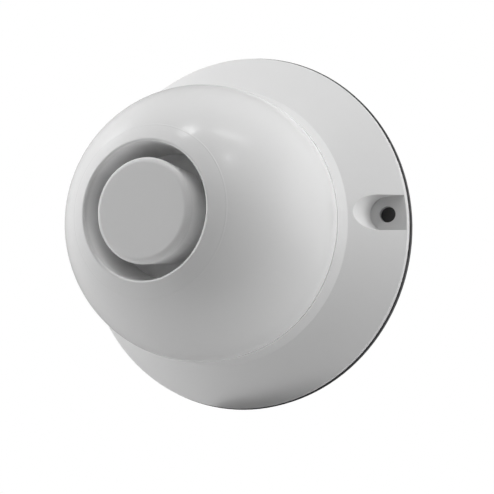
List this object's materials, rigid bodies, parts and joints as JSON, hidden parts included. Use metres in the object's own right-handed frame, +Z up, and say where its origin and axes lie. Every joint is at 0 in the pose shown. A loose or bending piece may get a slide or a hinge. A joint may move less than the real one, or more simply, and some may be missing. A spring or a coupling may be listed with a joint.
{
  "type": "alarm sounder",
  "caption": "Round wall-mounted alarm sounder: a ball-shaped cover with a plugged sound mouth at the front, snapped onto a flared base with open screw pockets at its sides.",
  "frame": {"origin": "centre of the face that lies against the wall, where the supply wires come out of the wall", "axes": "+Z up and +X to the right as seen from the front; the sounder faces -Y and the wall lies on its +Y side"},
  "size_m": [0.1046, 0.0553, 0.1046],
  "materials": {
    "cover_plastic": "light grey-white moulded plastic, satin gloss",
    "housing_plastic": "light grey-white moulded plastic, fine satin texture",
    "inner_plastic": "pale grey moulded plastic",
    "gasket_rubber": "dark grey closed-cell rubber foam",
    "screw_steel": "zinc plated steel",
    "board_laminate": "green lacquered glass-fibre laminate",
    "terminal_plastic": "blue moulded plastic",
    "socket_plastic": "cream nylon",
    "sleeve_plastic": "dark shrink sleeve",
    "ferrite": "dark grey ferrite",
    "copper_wire": "lacquered copper wire",
    "black_epoxy": "black moulded epoxy",
    "resistor_coating": "beige lacquer",
    "disc_coating": "ochre dipped coating",
    "piezo_alloy": "rolled nickel alloy, dull",
    "piezo_ceramic": "silvered ceramic disc",
    "red_insulation": "red insulated wire",
    "black_insulation": "black insulated wire"
  },
  "bodies": {
    "root": {"wall_gasket": "gasket_rubber", "base_housing": "housing_plastic", "back_plate": "inner_plastic", "back_plate_screws": "screw_steel", "cable_grommet": "gasket_rubber", "circuit_board": "board_laminate", "board_screws": "screw_steel", "terminal_block": "terminal_plastic", "terminal_screws": "screw_steel", "lead_socket": "socket_plastic", "smoothing_capacitor": "sleeve_plastic", "coil_core": "ferrite", "coil_winding": "copper_wire", "control_chip": "black_epoxy", "drive_transistor": "black_epoxy", "rectifier_diode": "black_epoxy", "resistors": "resistor_coating", "disc_capacitors": "disc_coating", "ball_cover": "cover_plastic", "phase_plug": "cover_plastic", "driver_seal": "gasket_rubber", "piezo_plate": "piezo_alloy", "piezo_ceramic": "piezo_ceramic", "driver_cup": "inner_plastic", "driver_screws": "screw_steel", "red_lead": "red_insulation", "black_lead": "black_insulation"}
  },
  "joints": []
}
